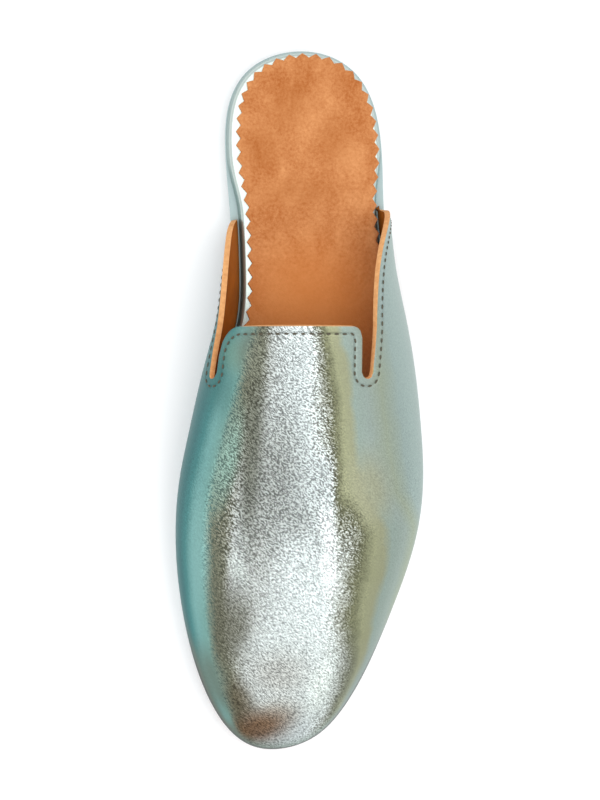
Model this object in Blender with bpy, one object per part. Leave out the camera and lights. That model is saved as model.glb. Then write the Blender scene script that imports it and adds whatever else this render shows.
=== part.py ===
"""Backless leather slipper for the left foot, made of five pieces.

The toe points along -Y, the heel along +Y and the inner side of the foot is -X.
The slipper stands on the floor at Z = 0, with the origin under its middle.
"""

import math
from typing import NamedTuple

import bmesh
import bpy
import numpy as np

# Main sizes of the slipper, in metres
LENGTH = 0.256
BALL_WIDTH = 0.0908
HEEL_WIDTH = 0.0575
INSTEP_HEIGHT = 0.052
HEEL_HEIGHT = 0.006
TOE_SPRING = 0.005

# Thickness of each layer
UPPER_WALL = 0.002
OUTSOLE_THICKNESS = 0.004
FOOTBED_THICKNESS = 0.005
SOCK_THICKNESS = 0.0012

# How the layers meet
CLEARANCE = 0.0003
SIDE_CLEARANCE = 0.0005
SOLE_MARGIN = 0.0004
WING_RECESS_LEAD = 0.0015
WING_RECESS_RUN = 0.022
FOOTBED_EDGE_RADIUS = 0.0018
OUTSOLE_EDGE_BEVEL = 0.0006
HEEL_TAPER = 0.001

# Opening of the upper, measured from the toe tip or across the leather
VAMP_LENGTH = 0.1543
NOTCH_LENGTH = 0.0162
NOTCH_MOUTH_WIDTH = 0.0067
NOTCH_END_WIDTH = 0.0046
FLAP_MEDIAL_GIRTH = 0.0290
FLAP_LATERAL_GIRTH = 0.0260
FLAP_MEDIAL_CORNER = 0.0100
FLAP_LATERAL_CORNER = 0.004
MEDIAL_WING_END = 0.1940
LATERAL_WING_END = 0.1978

# Bottom of the sole, as distances from the toe tip
SPRING_END = 0.066
ARCH_START = 0.104
HEEL_BREAST = 0.190

# Pinked edge of the suede sock
SOCK_HEEL_INSET = 0.0021
SOCK_WAIST_INSET = 0.0013
SOCK_SHIFT_LATERAL = 0.0012
SOCK_SHIFT_BACK = 0.0013
PINKING_PITCH = 0.0046
PINKING_DEPTH = 0.0017

# Fullness of the cross-section: 2 is an ellipse, more is squarer
FULLNESS = 2.25

# How long the topline of each wing keeps its height: 1 falls at once, more holds on
MEDIAL_WING_HOLD = 1.1
LATERAL_WING_HOLD = 2.0

# Where along the length the widths pass from the ball's to the heel's
WAIST_START = 0.55
WAIST_END = 0.80


class Outline(NamedTuple):
    """Widest line seen from above, and how far the sole lies inside it.

    along is a share of LENGTH from the toe tip, the four others are shares of
    the width there: BALL_WIDTH in front, HEEL_WIDTH behind.
    """

    along: float
    medial: float
    lateral: float
    medial_tuck: float
    lateral_tuck: float


OUTLINE = (
    Outline(0.0168, 0.249, 0.058, 0.003, 0.003),
    Outline(0.0543, 0.337, 0.168, 0.004, 0.004),
    Outline(0.1289, 0.426, 0.290, 0.007, 0.007),
    Outline(0.2035, 0.474, 0.379, 0.008, 0.009),
    Outline(0.3152, 0.500, 0.479, 0.013, 0.011),
    Outline(0.3898, 0.484, 0.500, 0.020, 0.011),
    Outline(0.4645, 0.442, 0.489, 0.035, 0.009),
    Outline(0.5391, 0.395, 0.465, 0.050, 0.005),
    Outline(0.6137, 0.363, 0.454, 0.066, 0.003),
    Outline(0.6883, 0.399, 0.487, 0.060, 0.007),
    Outline(0.7629, 0.453, 0.552, 0.031, 0.022),
    Outline(0.8375, 0.464, 0.536, 0.000, 0.000),
    Outline(0.9125, 0.457, 0.494, 0.000, 0.000),
    Outline(0.9684, 0.341, 0.365, 0.000, 0.000),
)
TOE_TIP = -0.110
TOE_TUCK = 0.003
HEEL_TIP = 0.017


class Section(NamedTuple):
    """Cross-section of the upper.

    along is a share of LENGTH from the toe tip. crown is the height of the ridge
    over the sole and medial_swell and lateral_swell are the heights of the widest
    line, as shares of INSTEP_HEIGHT. ridge is the ridge's place across, as a
    share of BALL_WIDTH.
    """

    along: float
    crown: float
    ridge: float
    medial_swell: float
    lateral_swell: float


SECTIONS = (
    Section(0.0000, 0.095, -0.110, 0.095, 0.095),
    Section(0.0168, 0.215, -0.105, 0.105, 0.105),
    Section(0.0543, 0.315, -0.098, 0.120, 0.120),
    Section(0.1289, 0.415, -0.085, 0.150, 0.150),
    Section(0.2035, 0.500, -0.076, 0.185, 0.170),
    Section(0.3152, 0.630, -0.068, 0.250, 0.190),
    Section(0.3898, 0.730, -0.064, 0.310, 0.195),
    Section(0.4645, 0.835, -0.060, 0.370, 0.195),
    Section(0.5391, 0.930, -0.057, 0.425, 0.190),
    Section(0.6137, 1.005, -0.055, 0.460, 0.180),
    Section(0.6883, 0.995, -0.055, 0.430, 0.160),
    Section(0.7629, 0.870, -0.055, 0.230, 0.140),
)

# Number of rows and columns of faces on the upper
TOE_ROWS = 24
NOTCH_ROWS = 5
WING_ROWS = 11
TUCK_COLUMNS = 3
WALL_COLUMNS = 6
NOTCH_COLUMNS = 4
FLAP_COLUMNS = 8

# Number of steps along one side of the flat pieces
EDGE_STEPS = 44
ROUND_STEPS = 3
HEEL_STEPS = 14

MEDIAL = -1
LATERAL = 1


def clear_scene():
    """Removes whatever the new file holds."""
    for item in list(bpy.data.objects):
        bpy.data.objects.remove(item, do_unlink=True)


def smooth_step(share):
    """Goes from 0 to 1 with level ends."""
    share = np.clip(share, 0.0, 1.0)
    return share * share * (3.0 - 2.0 * share)


def spline(knots, values):
    """Returns the smooth curve through the values, as a function of its place on the knots."""
    knots = np.asarray(knots, dtype=float)
    values = np.asarray(values, dtype=float)
    gaps = np.diff(knots)
    slopes = np.diff(values) / gaps
    count = len(knots)
    matrix = np.eye(count)
    right = np.zeros(count)
    for i in range(1, count - 1):
        matrix[i, i - 1] = gaps[i - 1]
        matrix[i, i] = 2.0 * (gaps[i - 1] + gaps[i])
        matrix[i, i + 1] = gaps[i]
        right[i] = 6.0 * (slopes[i] - slopes[i - 1])
    bends = np.linalg.solve(matrix, right)

    def curve(place):
        i = np.clip(np.searchsorted(knots, place) - 1, 0, count - 2)
        before = (knots[i + 1] - place) / gaps[i]
        after = 1.0 - before
        bulge = (before ** 3 - before) * bends[i] + (after ** 3 - after) * bends[i + 1]
        return before * values[i] + after * values[i + 1] + bulge * gaps[i] ** 2 / 6.0

    return curve


def turn_at(along):
    """Turns a share of the length into a place on the outline: 0 at the toe, 1 at the heel.

    The sine law spaces the places evenly round both ends of the outline.
    """
    return 2.0 / math.pi * np.arcsin(np.sqrt(np.clip(along, 0.0, 1.0)))


def along_at(turn):
    """Turns a place on the outline back into a share of the length."""
    return np.sin(np.abs(turn) * math.pi / 2.0) ** 2


def width_at(along):
    """Width that the shares of the outline refer to."""
    blend = smooth_step((along - WAIST_START) / (WAIST_END - WAIST_START))
    return BALL_WIDTH + (HEEL_WIDTH - BALL_WIDTH) * blend


def ring_spline(medial, lateral, toe, heel):
    """Smooth curve round the outline, medial places below 0 and lateral ones above."""
    places = [turn_at(row.along) for row in OUTLINE]
    knots = [-place for place in reversed(places)] + [0.0] + places
    values = list(reversed(medial)) + [toe] + list(lateral)
    before = [knot - 2.0 for knot in knots[-3:]]
    after = [knot + 2.0 for knot in knots[:3]]
    knots = before + [-1.0] + knots + [1.0] + after
    values = values[-3:] + [heel] + values + [heel] + values[:3]
    return spline(knots, values)


OUTLINE_X = ring_spline(
    [-row.medial * width_at(row.along) for row in OUTLINE],
    [row.lateral * width_at(row.along) for row in OUTLINE],
    TOE_TIP * BALL_WIDTH,
    HEEL_TIP * HEEL_WIDTH,
)
TUCK = ring_spline(
    [row.medial_tuck * width_at(row.along) for row in OUTLINE],
    [row.lateral_tuck * width_at(row.along) for row in OUTLINE],
    TOE_TUCK * BALL_WIDTH,
    0.0,
)

SECTION_TURNS = [turn_at(row.along) for row in SECTIONS]
CROWN = spline(SECTION_TURNS, [row.crown * INSTEP_HEIGHT for row in SECTIONS])
RIDGE = spline(SECTION_TURNS, [row.ridge * BALL_WIDTH for row in SECTIONS])
SWELL = {
    MEDIAL: spline(SECTION_TURNS, [row.medial_swell * INSTEP_HEIGHT for row in SECTIONS]),
    LATERAL: spline(SECTION_TURNS, [row.lateral_swell * INSTEP_HEIGHT for row in SECTIONS]),
}


def widest_point(turn):
    """Point of the widest line, seen from above."""
    return np.array([float(OUTLINE_X(turn)), (float(along_at(turn)) - 0.5) * LENGTH])


def outward(turn):
    """Direction straight out of the outline, seen from above."""
    step = 0.002
    tangent = widest_point(turn + step) - widest_point(turn - step)
    tangent /= np.linalg.norm(tangent)
    return np.array([tangent[1], -tangent[0]])


def edge_point(turn, inset):
    """Point of the sole's own outline, moved inwards by the inset."""
    return widest_point(turn) - outward(turn) * (float(TUCK(turn)) + inset)


def sole_line(from_toe):
    """Height of the outsole's lower face over the floor, at a distance from the toe tip."""
    spring = TOE_SPRING * np.clip(1.0 - from_toe / SPRING_END, 0.0, None) ** 2
    arch = smooth_step((from_toe - ARCH_START) / (HEEL_BREAST - ARCH_START))
    return spring + HEEL_HEIGHT * arch


def height_over_outsole(y, height):
    """World height of a point that lies at a height over the outsole's upper face."""
    return float(sole_line(y + LENGTH / 2.0)) + OUTSOLE_THICKNESS + height


def upper_point(side, turn, climb):
    """Point of the upper's outer face.

    climb is 0 at the lower edge, 1 at the widest line and 2 on the ridge.
    """
    swell = float(SWELL[side](turn))
    if climb < 1.0:
        tuck = (float(TUCK(side * turn)) + SOLE_MARGIN) * (1.0 - float(smooth_step(climb)))
        x, y = widest_point(side * turn) - outward(side * turn) * tuck
        height = CLEARANCE + (swell - CLEARANCE) * climb
        return np.array([x, y, height_over_outsole(y, height)])
    x, y = widest_point(side * turn)
    ridge = float(RIDGE(turn))
    angle = (climb - 1.0) * math.pi / 2.0
    across = max(math.cos(angle), 0.0) ** (2.0 / FULLNESS)
    rise = math.sin(angle) ** (2.0 / FULLNESS)
    height = swell + (float(CROWN(turn)) - swell) * rise
    return np.array([ridge + (x - ridge) * across, y, height_over_outsole(y, height)])


def climb_at_girth(side, turn, girth):
    """Climb of the point that lies at a distance from the ridge, measured on the leather."""
    climbs = np.linspace(2.0, 0.0, 81)
    points = np.array([upper_point(side, turn, climb) for climb in climbs])
    lengths = np.linalg.norm(np.diff(points, axis=0), axis=1)
    return float(np.interp(girth, np.concatenate([[0.0], np.cumsum(lengths)]), climbs))


def climb_at_height(side, turn, height):
    """Climb of the point that lies at a height over the outsole."""
    climbs = np.linspace(0.0, 2.0, 81)
    points = np.array([upper_point(side, turn, climb) for climb in climbs])
    base = height_over_outsole(points[-1][1], 0.0)
    return float(np.interp(height, points[:, 2] - base, climbs))


def turn_from_toe(distance):
    """Place on the outline at a distance from the toe tip, along the slipper."""
    return float(turn_at(distance / LENGTH))


NOTCH_END = VAMP_LENGTH - NOTCH_LENGTH
NOTCH_RADIUS = NOTCH_END_WIDTH / 2.0
FLAP_GIRTH = {MEDIAL: FLAP_MEDIAL_GIRTH, LATERAL: FLAP_LATERAL_GIRTH}
FLAP_CORNER = {MEDIAL: FLAP_MEDIAL_CORNER, LATERAL: FLAP_LATERAL_CORNER}
WING_END = {MEDIAL: MEDIAL_WING_END, LATERAL: LATERAL_WING_END}
WING_HOLD = {MEDIAL: MEDIAL_WING_HOLD, LATERAL: LATERAL_WING_HOLD}


class Notch:
    """Edges of one notch, as climbs that change along the slipper."""

    def __init__(self, side):
        self.places = np.linspace(NOTCH_END, VAMP_LENGTH, 7)
        turns = [turn_from_toe(place) for place in self.places]
        widths = np.linspace(NOTCH_END_WIDTH, NOTCH_MOUTH_WIDTH, len(turns))
        flap = FLAP_GIRTH[side]
        self.inner = [climb_at_girth(side, turn, flap) for turn in turns]
        self.outer = [climb_at_girth(side, turn, flap + width) for turn, width in zip(turns, widths)]

    def climbs(self, from_toe):
        """Climbs of the wing's edge and of the flap's edge."""
        outer = float(np.interp(from_toe, self.places, self.outer))
        inner = float(np.interp(from_toe, self.places, self.inner))
        return outer, inner


NOTCH = {side: Notch(side) for side in (MEDIAL, LATERAL)}


def column_climb(side, from_toe, column):
    """Climb of a column of the vamp: tuck, wall, notch and flap columns in turn."""
    outer, inner = NOTCH[side].climbs(from_toe)
    stops = np.cumsum([0, TUCK_COLUMNS, WALL_COLUMNS, NOTCH_COLUMNS, FLAP_COLUMNS])
    return float(np.interp(column, stops, [0.0, 1.0, outer, inner, 2.0]))


COLUMNS = TUCK_COLUMNS + WALL_COLUMNS + NOTCH_COLUMNS + FLAP_COLUMNS
WING_COLUMN = TUCK_COLUMNS + WALL_COLUMNS
FLAP_COLUMN = WING_COLUMN + NOTCH_COLUMNS


def vamp_distance(row, column):
    """Distance from the toe tip of a point of the vamp, with the notch's round end."""
    share = row / TOE_ROWS
    early = 0.2
    distance = NOTCH_END * share * share * (1.0 + early) / (share + early)
    off_centre = (column - WING_COLUMN) / NOTCH_COLUMNS * 2.0 - 1.0
    if abs(off_centre) < 1.0:
        round_rows = 3
        near = max(0.0, 1.0 - (TOE_ROWS - row) / round_rows)
        distance -= near * NOTCH_RADIUS * math.sqrt(1.0 - off_centre * off_centre)
    return distance


def flap_distance(side, row, column):
    """Distance from the toe tip of a point of the flap, with its rounded corner."""
    corner = FLAP_CORNER[side]
    from_edge = (column - FLAP_COLUMN) / FLAP_COLUMNS * FLAP_GIRTH[side]
    short = max(0.0, corner - from_edge)
    end = VAMP_LENGTH - (corner - math.sqrt(corner * corner - short * short))
    return NOTCH_END + (end - NOTCH_END) * row / NOTCH_ROWS


def wing_edge(side, from_toe):
    """Climb of the wing's top edge: beside the notch, then down a curve to its rounded end."""
    if from_toe <= VAMP_LENGTH:
        return NOTCH[side].climbs(from_toe)[0]
    turn = turn_from_toe(VAMP_LENGTH)
    start = upper_point(side, turn, NOTCH[side].climbs(VAMP_LENGTH)[0])
    start_height = start[2] - height_over_outsole(start[1], 0.0)
    gone = (from_toe - VAMP_LENGTH) / (WING_END[side] - VAMP_LENGTH)
    height = start_height * math.sqrt(max(0.0, 1.0 - gone ** WING_HOLD[side]))
    return climb_at_height(side, turn_from_toe(from_toe), height)


def wing_distance(side, row):
    """Distance from the toe tip of a row of the wing, closer rows at its rounded end."""
    if row <= NOTCH_ROWS:
        return NOTCH_END + NOTCH_LENGTH * row / NOTCH_ROWS
    share = (row - NOTCH_ROWS) / WING_ROWS
    return VAMP_LENGTH + (WING_END[side] - VAMP_LENGTH) * math.sin(share * math.pi / 2.0)


def wing_climb(side, from_toe, column):
    """Climb of a column of the wing, which keeps its share of the wall's height."""
    full = NOTCH[side].climbs(NOTCH_END)[0]
    at_notch = column_climb(side, NOTCH_END, column)
    return at_notch / full * wing_edge(side, from_toe)


def add_grid(mesh, point, rows, columns, flip):
    """Adds a grid of quads through point(row, column)."""
    lines = []
    for row in rows:
        lines.append([mesh.verts.new(point(row, column)) for column in columns])
    for line, ahead in zip(lines, lines[1:]):
        for i in range(len(columns) - 1):
            corners = [line[i], line[i + 1], ahead[i + 1], ahead[i]]
            if flip:
                corners.reverse()
            mesh.faces.new(corners)


def new_object(name, mesh, material):
    """Turns a mesh that is being edited into a named object with its material."""
    data = bpy.data.meshes.new(name)
    mesh.to_mesh(data)
    mesh.free()
    data.materials.append(material)
    item = bpy.data.objects.new(name, data)
    bpy.context.collection.objects.link(item)
    data.shade_smooth()
    data.set_sharp_from_angle(angle=math.radians(40.0))
    return item


def new_material(name, colour, roughness, metallic):
    """Principled material with the piece's colour, roughness and metallic value."""
    material = bpy.data.materials.new(name)
    material.use_nodes = True
    shader = material.node_tree.nodes["Principled BSDF"]
    shader.inputs["Base Color"].default_value = (*colour, 1.0)
    shader.inputs["Roughness"].default_value = roughness
    shader.inputs["Metallic"].default_value = metallic
    return material


def build_upper(material):
    """Upper: one wall of leather over the forefoot, with a flap between two wings.

    The outer face is laid out in rows from the toe back and in columns from the
    lower edge up to the ridge, one side after the other. The wall grows inwards.
    """
    mesh = bmesh.new()
    for side in (MEDIAL, LATERAL):
        flip = side == LATERAL

        def vamp(row, column, side=side):
            distance = vamp_distance(row, column)
            climb = column_climb(side, distance, column)
            return upper_point(side, turn_from_toe(distance), climb)

        def flap(row, column, side=side):
            distance = flap_distance(side, row, column)
            climb = column_climb(side, distance, column)
            return upper_point(side, turn_from_toe(distance), climb)

        def wing(row, column, side=side):
            distance = wing_distance(side, row)
            climb = wing_climb(side, distance, column)
            return upper_point(side, turn_from_toe(distance), climb)

        add_grid(mesh, vamp, range(TOE_ROWS + 1), range(COLUMNS + 1), flip)
        add_grid(mesh, flap, range(NOTCH_ROWS + 1), range(FLAP_COLUMN, COLUMNS + 1), flip)
        add_grid(mesh, wing, range(NOTCH_ROWS + WING_ROWS + 1), range(WING_COLUMN + 1), flip)
    bmesh.ops.remove_doubles(mesh, verts=mesh.verts, dist=0.00002)
    bmesh.ops.dissolve_degenerate(mesh, edges=mesh.edges, dist=0.00001)
    bmesh.ops.recalc_face_normals(mesh, faces=mesh.faces)
    item = new_object("upper", mesh, material)
    wall = item.modifiers.new("wall", "SOLIDIFY")
    wall.thickness = UPPER_WALL
    wall.offset = -1.0
    wall.use_even_offset = True
    return item


def outline_turns(steps):
    """Places round the outline: toe tip, medial side, heel tip, then the lateral side back."""
    medial = [-step / steps for step in range(steps + 1)]
    lateral = [step / steps for step in range(steps - 1, 0, -1)]
    return medial + lateral


def add_slab(mesh, rings):
    """Adds a closed body through rings of points, capped by rungs from side to side."""
    loops = [[mesh.verts.new(point) for point in ring] for ring in rings]
    count = len(loops[0])
    for lower, upper in zip(loops, loops[1:]):
        for i in range(count):
            j = (i + 1) % count
            mesh.faces.new([lower[i], lower[j], upper[j], upper[i]])
    for loop in (loops[0], loops[-1]):
        for i in range(count // 2):
            rung = [loop[i], loop[i + 1], loop[-i - 1], loop[-i] if i else loop[0]]
            corners = []
            for corner in rung:
                if corner not in corners:
                    corners.append(corner)
            mesh.faces.new(corners)
    bmesh.ops.recalc_face_normals(mesh, faces=mesh.faces)


def layer_ring(places, height):
    """Lifts points seen from above to a height over the outsole's upper face."""
    return [(x, y, height_over_outsole(y, height)) for x, y in places]


def build_outsole(material):
    """Outsole: one even layer of leather with toe spring and arch, its lower edge eased."""
    turns = outline_turns(EDGE_STEPS)
    full = [edge_point(turn, 0.0) for turn in turns]
    eased = [edge_point(turn, OUTSOLE_EDGE_BEVEL) for turn in turns]
    rings = [
        layer_ring(eased, -OUTSOLE_THICKNESS),
        layer_ring(full, OUTSOLE_EDGE_BEVEL - OUTSOLE_THICKNESS),
        layer_ring(full, 0.0),
    ]
    mesh = bmesh.new()
    add_slab(mesh, rings)
    return new_object("outsole", mesh, material)


def past_wing(turn):
    """0 beside the upper, 1 on the open heel, with a smooth change behind the wings."""
    end = WING_END[LATERAL if turn > 0.0 else MEDIAL]
    from_toe = float(along_at(turn)) * LENGTH
    return float(smooth_step((from_toe - end - WING_RECESS_LEAD) / WING_RECESS_RUN))


def footbed_inset(turn):
    """How far the footbed's side lies inside the outsole's edge.

    Under the upper it leaves room for the wall. Behind the wings it comes out again.
    """
    return SOLE_MARGIN + (UPPER_WALL + SIDE_CLEARANCE) * (1.0 - past_wing(turn))


def build_footbed(material):
    """Footbed: a board wrapped in the upper's leather, its top edge rounded."""
    turns = outline_turns(EDGE_STEPS)
    top = FOOTBED_THICKNESS - CLEARANCE
    side = [edge_point(turn, footbed_inset(turn)) for turn in turns]
    rings = [layer_ring(side, CLEARANCE)]
    for step in range(ROUND_STEPS + 1):
        angle = step / ROUND_STEPS * math.pi / 2.0
        inset = FOOTBED_EDGE_RADIUS * (1.0 - math.cos(angle))
        drop = FOOTBED_EDGE_RADIUS * (1.0 - math.sin(angle))
        places = [edge_point(turn, footbed_inset(turn) + inset) for turn in turns]
        rings.append(layer_ring(places, CLEARANCE + top - drop))
    mesh = bmesh.new()
    add_slab(mesh, rings)
    return new_object("footbed", mesh, material)


def sock_side(sign, steps):
    """One side of the sock from the toe to the heel, evenly stepped, every other point cut in."""
    turns = np.linspace(0.0, 1.0, 400)
    places = np.array([edge_point(sign * turn, footbed_inset(sign * turn)) for turn in turns])
    lengths = np.linalg.norm(np.diff(places, axis=0), axis=1)
    run = np.concatenate([[0.0], np.cumsum(lengths)])
    side = []
    for step in range(steps + 1):
        turn = float(np.interp(step / steps * run[-1], run, turns)) * sign
        moved = float(outward(turn) @ [SOCK_SHIFT_LATERAL, SOCK_SHIFT_BACK])
        rim = SOCK_WAIST_INSET + (SOCK_HEEL_INSET - SOCK_WAIST_INSET) * past_wing(turn)
        inset = footbed_inset(turn) + rim - moved
        if step % 2:
            inset += PINKING_DEPTH
        side.append(edge_point(turn, inset))
    return side


def build_sock(material):
    """Sock: a suede sheet glued on the footbed, pinked all round."""
    half_round = math.pi / 2.0 * (LENGTH - BALL_WIDTH) / 2.0 + LENGTH / 2.0
    teeth = round(half_round / PINKING_PITCH)
    medial = sock_side(MEDIAL, 2 * teeth)
    lateral = sock_side(LATERAL, 2 * teeth)
    loop = medial + lateral[-2:0:-1]
    low = FOOTBED_THICKNESS + CLEARANCE
    rings = [layer_ring(loop, low), layer_ring(loop, low + SOCK_THICKNESS)]
    mesh = bmesh.new()
    add_slab(mesh, rings)
    return new_object("sock", mesh, material)


def build_heel(material):
    """Heel: a low lift under the back of the outsole, with a straight breast."""
    breast = turn_from_toe(HEEL_BREAST)
    shares = [breast + (1.0 - breast) * step / HEEL_STEPS for step in range(HEEL_STEPS + 1)]
    turns = [-share for share in shares] + shares[-2::-1]
    rings = []
    for height, taper in ((0.0, HEEL_TAPER), (HEEL_HEIGHT - CLEARANCE, 0.0)):
        places = [edge_point(turn, SOLE_MARGIN + taper) for turn in turns]
        rings.append([(x, y, height) for x, y in places])
    mesh = bmesh.new()
    loops = [[mesh.verts.new(point) for point in ring] for ring in rings]
    count = len(turns)
    for i in range(count):
        j = (i + 1) % count
        mesh.faces.new([loops[0][i], loops[0][j], loops[1][j], loops[1][i]])
    for loop in loops:
        mesh.faces.new(loop)
    bmesh.ops.recalc_face_normals(mesh, faces=mesh.faces)
    return new_object("heel", mesh, material)


def main():
    """Builds the five pieces where they lie in the finished slipper."""
    clear_scene()
    metallic_leather = new_material("metallic_leather", (0.47, 0.56, 0.52), 0.38, 0.85)
    wrapped_board = new_material("leather_wrapped_board", (0.52, 0.60, 0.56), 0.38, 0.8)
    suede = new_material("suede", (0.60, 0.27, 0.10), 0.95, 0.0)
    sole_leather = new_material("sole_leather", (0.42, 0.24, 0.12), 0.6, 0.0)
    heel_leather = new_material("heel_leather", (0.36, 0.20, 0.10), 0.6, 0.0)
    build_upper(metallic_leather)
    build_footbed(wrapped_board)
    build_sock(suede)
    build_outsole(sole_leather)
    build_heel(heel_leather)


main()
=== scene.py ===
"""A left babouche slipper of metallic foil leather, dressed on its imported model.

The toe points along -Y, the heel along +Y and the inner side of the foot is -X.
"""

import math

import bmesh
import bpy
import numpy as np
from mathutils import Matrix, Vector
from mathutils.bvhtree import BVHTree
from mathutils.kdtree import KDTree


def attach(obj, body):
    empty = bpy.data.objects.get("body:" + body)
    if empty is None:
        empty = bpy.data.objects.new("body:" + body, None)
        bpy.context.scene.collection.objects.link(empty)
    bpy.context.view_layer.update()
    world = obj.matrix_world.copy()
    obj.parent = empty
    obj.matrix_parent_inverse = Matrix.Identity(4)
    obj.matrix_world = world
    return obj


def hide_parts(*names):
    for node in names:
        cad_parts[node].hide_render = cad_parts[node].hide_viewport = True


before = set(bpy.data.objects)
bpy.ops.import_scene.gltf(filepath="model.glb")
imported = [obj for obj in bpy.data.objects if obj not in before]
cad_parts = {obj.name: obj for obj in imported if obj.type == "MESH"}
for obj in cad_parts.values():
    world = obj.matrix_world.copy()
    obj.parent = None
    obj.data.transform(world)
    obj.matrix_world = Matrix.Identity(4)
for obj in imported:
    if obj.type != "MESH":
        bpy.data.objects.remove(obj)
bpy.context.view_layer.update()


# Floor, light and camera. The slipper lies on a white studio floor under one large
# soft light. The camera looks straight down from a little to the inner side of the
# foot, as in the photograph, where the slipper stands to the right of the middle.

def linear(code):
    """Turns an sRGB hex value into the linear colour that a shader takes."""
    parts = [int(code[i:i + 2], 16) / 255.0 for i in (1, 3, 5)]
    return tuple(c / 12.92 if c <= 0.04045 else ((c + 0.055) / 1.055) ** 2.4 for c in parts) + (1.0,)


def feed(tree, node, inputs):
    """Sets or links the named inputs of a node."""
    for name, value in inputs.items():
        if isinstance(value, bpy.types.NodeSocket):
            tree.links.new(value, node.inputs[name])
        else:
            node.inputs[name].default_value = value


def add_node(tree, kind, settings=None, inputs=None):
    """Adds a node, sets its properties, sets or links its inputs, and returns its outputs."""
    made = tree.nodes.new(kind)
    for name, value in (settings or {}).items():
        setattr(made, name, value)
    feed(tree, made, inputs or {})
    return made.outputs


def new_material(name):
    """Makes a material and returns it with its tree and its Principled shader."""
    material = bpy.data.materials.new(name)
    material.use_nodes = True
    tree = material.node_tree
    return material, tree, tree.nodes["Principled BSDF"]


FLOOR_SIZE = 8.0
SKY_STRENGTH = 0.95
LIGHT_SIZE = 1.6
LIGHT_PLACE = (0.20, -0.14, 1.5)
LIGHT_POWER = 15.0
CAMERA_DISTANCE = 1.1
CAMERA_MEDIAL_SHIFT = 0.060
CAMERA_HEEL_SHIFT = 0.010
AIM_HEIGHT = 0.018
FRAME_HEIGHT = 0.292
SENSOR_WIDTH = 36.0

floor_mesh = bpy.data.meshes.new("studio_floor")
half = FLOOR_SIZE / 2.0
corners = [(-half, -half, 0), (half, -half, 0), (half, half, 0), (-half, half, 0)]
floor_mesh.from_pydata(corners, [], [(0, 1, 2, 3)])
floor = bpy.data.objects.new("studio_floor", floor_mesh)
bpy.context.collection.objects.link(floor)
white_paper, tree, shader = new_material("white_paper")
feed(tree, shader, {"Base Color": linear("#ffffff"), "Roughness": 0.9})
floor_mesh.materials.append(white_paper)

world = bpy.data.worlds.new("studio")
world.use_nodes = True
sky = world.node_tree.nodes["Background"]
feed(world.node_tree, sky, {"Color": linear("#fbfbfd"), "Strength": SKY_STRENGTH})
bpy.context.scene.world = world
bpy.context.scene.view_settings.view_transform = "Standard"

light_data = bpy.data.lights.new("overhead", "AREA")
light_data.shape = "SQUARE"
light_data.size = LIGHT_SIZE
light_data.energy = LIGHT_POWER
light = bpy.data.objects.new("overhead", light_data)
light.location = LIGHT_PLACE
light.rotation_euler = (-Vector(LIGHT_PLACE)).to_track_quat("-Z", "Y").to_euler()
bpy.context.collection.objects.link(light)

camera_data = bpy.data.cameras.new("camera")
camera = bpy.data.objects.new("camera", camera_data)
bpy.context.collection.objects.link(camera)
aim = Vector((0, 0, AIM_HEIGHT))
eye = Vector((-CAMERA_MEDIAL_SHIFT, CAMERA_HEEL_SHIFT, AIM_HEIGHT + CAMERA_DISTANCE))
back = (eye - aim).normalized()
right = Vector((0, 1, 0)).cross(back).normalized()
facing = Matrix((right, back.cross(right), back)).transposed().to_4x4()
camera.matrix_world = Matrix.Translation(eye) @ facing
camera_data.sensor_width = SENSOR_WIDTH
camera_data.lens = SENSOR_WIDTH * (eye - aim).length / FRAME_HEIGHT
bpy.context.scene.camera = camera


# Outsole. One even layer of sole leather, cut to the outline of the last, with its
# edge eased, painted and polished. It is cemented under the footbed and the upper.

LENGTH = 0.256
BALL_WIDTH = 0.0908
HEEL_WIDTH = 0.0575
HEEL_HEIGHT = 0.006
TOE_SPRING = 0.005
OUTSOLE_THICKNESS = 0.004
CLEARANCE = 0.0003
SPRING_END = 0.066
ARCH_START = 0.104
HEEL_BREAST = 0.190
WAIST_START = 0.55
WAIST_END = 0.80
OUTSOLE_EASE = 0.0007
EDGE_STEPS = 180
SHARP_ANGLE = math.radians(35.0)

# Share of LENGTH from the toe, widest line on the medial and lateral side, and how
# far the sole lies inside it on each side, as shares of the width there.
OUTLINE = (
    (0.0168, 0.249, 0.058, 0.003, 0.003),
    (0.0543, 0.337, 0.168, 0.004, 0.004),
    (0.1289, 0.426, 0.290, 0.007, 0.007),
    (0.2035, 0.474, 0.379, 0.008, 0.009),
    (0.3152, 0.500, 0.479, 0.013, 0.011),
    (0.3898, 0.484, 0.500, 0.020, 0.011),
    (0.4645, 0.442, 0.489, 0.035, 0.009),
    (0.5391, 0.395, 0.465, 0.050, 0.005),
    (0.6137, 0.363, 0.454, 0.066, 0.003),
    (0.6883, 0.399, 0.487, 0.060, 0.007),
    (0.7629, 0.453, 0.552, 0.031, 0.022),
    (0.8375, 0.464, 0.536, 0.000, 0.000),
    (0.9125, 0.457, 0.494, 0.000, 0.000),
    (0.9684, 0.341, 0.365, 0.000, 0.000),
)
TOE_TIP = -0.110
TOE_TUCK = 0.003
HEEL_TIP = 0.017
MEDIAL = -1
LATERAL = 1

# Height over the upper face, and inset from the edge, from the underside up
OUTSOLE_PROFILE = (
    (-OUTSOLE_THICKNESS, OUTSOLE_EASE),
    (OUTSOLE_EASE * 0.3 - OUTSOLE_THICKNESS, OUTSOLE_EASE * 0.25),
    (OUTSOLE_EASE - OUTSOLE_THICKNESS, 0.0),
    (-OUTSOLE_EASE * 0.4, 0.0),
    (0.0, OUTSOLE_EASE * 0.25),
)


def smooth_step(share):
    """Goes from 0 to 1 with level ends."""
    share = np.clip(share, 0.0, 1.0)
    return share * share * (3.0 - 2.0 * share)


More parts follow.
